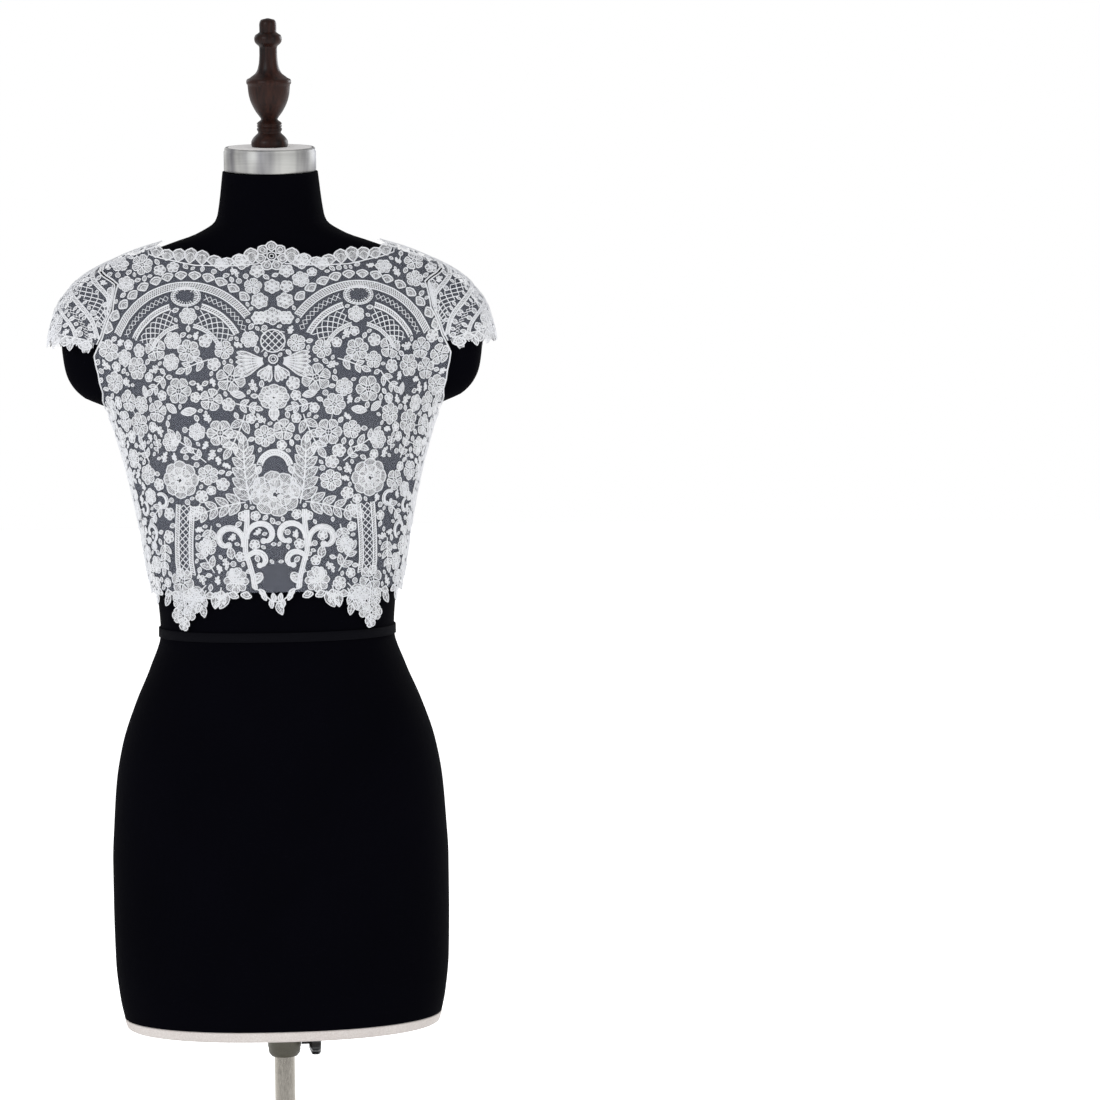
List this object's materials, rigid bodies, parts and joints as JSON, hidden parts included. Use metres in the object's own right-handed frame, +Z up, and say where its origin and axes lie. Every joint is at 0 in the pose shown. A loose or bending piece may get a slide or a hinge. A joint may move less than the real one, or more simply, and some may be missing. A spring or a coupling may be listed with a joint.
{
  "type": "lace bolero jacket on a dress form",
  "caption": "Cropped cap-sleeved jacket of white corded lace on tulle, buttoned down the back, on a black dress form with a round-based stand.",
  "frame": {"origin": "centre of the base's underside, on the floor under the pole", "axes": "+Z up along the pole, -Y the way the jacket's front faces, +X towards the wearer's left"},
  "size_m": [0.4406, 0.36, 1.4164],
  "materials": {
    "white_lace": "corded lace on sheer tulle",
    "white_satin": "satin-covered buttons",
    "black_jersey": "fine black jersey",
    "black_tape": "narrow woven ribbon",
    "cream_board": "painted board",
    "brushed_ring": "brushed",
    "dark_wood": "stained and lacquered turned wood",
    "pole_nickel": "satin nickel tube",
    "collar_plastic": "moulded",
    "knob_plastic": "glossy moulded",
    "base_iron": "satin black"
  },
  "bodies": {
    "stand": {"base": "base_iron", "pole": "pole_nickel"},
    "collar": {"collar": "collar_plastic"},
    "clamp": {"knob": "knob_plastic"},
    "form": {"torso": "black_jersey", "hem_rim": "cream_board", "waist_tape": "black_tape", "neck_ring": "brushed_ring", "finial": "dark_wood", "front_panel": "white_lace", "back_left": "white_lace", "back_right": "white_lace", "sleeve_left": "white_lace", "sleeve_right": "white_lace", "placket": "white_lace", "button_01": "white_satin", "button_02": "white_satin", "button_03": "white_satin", "button_04": "white_satin", "button_05": "white_satin", "button_06": "white_satin", "button_07": "white_satin", "button_08": "white_satin", "button_09": "white_satin", "button_10": "white_satin", "button_11": "white_satin", "button_12": "white_satin", "button_13": "white_satin", "button_14": "white_satin", "neck_lace_front": "white_lace", "neck_lace_back_left": "white_lace", "neck_lace_back_right": "white_lace", "sleeve_lace_left": "white_lace", "sleeve_lace_right": "white_lace", "hem_lace_front": "white_lace", "hem_lace_back_left": "white_lace", "hem_lace_back_right": "white_lace", "rose_front_right": "white_lace", "rose_front_left": "white_lace", "rose_front_mid": "white_lace", "rose_back_1": "white_lace", "rose_back_2": "white_lace", "rose_back_3": "white_lace", "rose_back_4": "white_lace", "arch_front_outer_left": "white_lace", "arch_front_outer_right": "white_lace", "arch_front_inner_left": "white_lace", "arch_front_inner_right": "white_lace", "arch_back_left": "white_lace", "arch_back_right": "white_lace", "spray_upper_left": "white_lace", "spray_upper_right": "white_lace", "spray_lower_left": "white_lace", "spray_lower_right": "white_lace", "spray_back_left": "white_lace", "spray_back_right": "white_lace", "scroll_front_left": "white_lace", "scroll_front_right": "white_lace", "scroll_back_left": "white_lace", "scroll_back_right": "white_lace"}
  },
  "joints": [
    {"name": "height", "type": "slide", "parent": "stand", "child": "collar", "axis": [0, 0, 1], "range_m": [-0.1, 0.18]},
    {"name": "clamp_turn", "type": "hinge", "parent": "collar", "child": "clamp", "pos_m": [0.0248, 0, 0.4104], "axis": [1, 0, 0], "continuous": true},
    {"name": "swivel", "type": "hinge", "parent": "collar", "child": "form", "pos_m": [0, 0, 0.4294], "axis": [0, 0, 1], "continuous": true}
  ]
}
